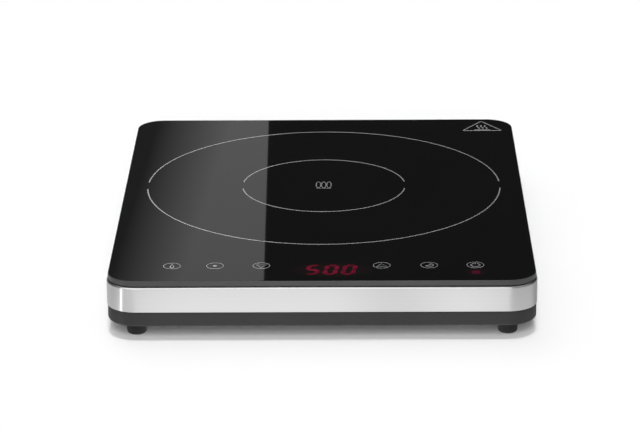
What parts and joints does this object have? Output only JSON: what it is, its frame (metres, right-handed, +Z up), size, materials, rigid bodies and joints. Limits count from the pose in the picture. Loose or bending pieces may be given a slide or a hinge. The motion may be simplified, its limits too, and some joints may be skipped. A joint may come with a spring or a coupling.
{
  "type": "electric induction cooktop",
  "caption": "Portable induction cooktop: black glass plate on a brushed steel band and a plastic tray with round feet, with its coil, electronics and cooling fan inside.",
  "frame": {"origin": "on the surface that the cooktop stands on, below the middle of the plate", "axes": "+X to the right and +Y to the back as seen from the side with the touch keys, +Z up"},
  "size_m": [0.2946, 0.3714, 0.0441],
  "materials": {
    "black_glass": "polished black glass-ceramic",
    "silicone": "cured silicone bead",
    "brushed_steel": "fine horizontal brushing",
    "dark_plastic": "fine moulded texture",
    "rubber": "matt rubber",
    "zinc_steel": "zinc plated",
    "black_plastic": "moulded, satin",
    "phenolic": "moulded heat-resistant plastic",
    "copper": "enamelled copper strands",
    "mica": "pressed mica sheet",
    "ferrite": "sintered, matt",
    "board": "green circuit board",
    "aluminium": "extruded",
    "white_insulation": "satin insulation",
    "component_black": "moulded",
    "component_yellow": "dipped, glossy",
    "component_green": "moulded, glossy",
    "red_lens": "clear red lens",
    "ribbon_grey": "ribbed ribbon sleeve"
  },
  "bodies": {
    "cooktop": {"board_carrier": "black_plastic", "board_screw_1": "zinc_steel", "board_screw_2": "zinc_steel", "board_screw_3": "zinc_steel", "bottom_tray": "dark_plastic", "bridge_rectifier": "component_black", "buzzer": "component_black", "cable_gland": "black_plastic", "case_screw_front_left": "zinc_steel", "case_screw_front_right": "zinc_steel", "case_screw_rear_left": "zinc_steel", "case_screw_rear_right": "zinc_steel", "coil_former": "phenolic", "coil_lead_inner": "copper", "coil_lead_outer": "copper", "coil_screw_1": "zinc_steel", "coil_screw_2": "zinc_steel", "coil_screw_3": "zinc_steel", "coil_winding": "copper", "control_board": "board", "display": "component_black", "fan_frame": "black_plastic", "fan_lead": "component_black", "fan_screw_1": "zinc_steel", "fan_screw_2": "zinc_steel", "ferrite_bar_1": "ferrite", "ferrite_bar_2": "ferrite", "ferrite_bar_3": "ferrite", "ferrite_bar_4": "ferrite", "ferrite_bar_5": "ferrite", "ferrite_bar_6": "ferrite", "filter_capacitor": "component_yellow", "filter_choke": "component_green", "foot_front_left": "rubber", "foot_front_right": "rubber", "foot_rear_left": "rubber", "foot_rear_right": "rubber", "gland_nut": "black_plastic", "glass_bead": "silicone", "glass_plate": "black_glass", "heat_sink": "aluminium", "key_spring_1": "zinc_steel", "key_spring_2": "zinc_steel", "key_spring_3": "zinc_steel", "key_spring_4": "zinc_steel", "key_spring_5": "zinc_steel", "key_spring_6": "zinc_steel", "mains_fuse": "white_insulation", "mica_sheet": "mica", "power_board": "board", "power_lamp": "red_lens", "power_transistor": "component_black", "resonance_capacitor": "white_insulation", "ribbon_cable": "ribbon_grey", "sensor_spring": "zinc_steel", "standby_transformer": "component_yellow", "steel_band": "brushed_steel", "temperature_sensor": "white_insulation", "terminal_block": "component_green"},
    "fan_rotor": {"fan_rotor": "black_plastic"}
  },
  "joints": [
    {"name": "fan_spin", "type": "hinge", "parent": "cooktop", "child": "fan_rotor", "pos_m": [0.0847, 0.14255, 0.0237], "axis": [0, 0, 1], "continuous": true}
  ]
}
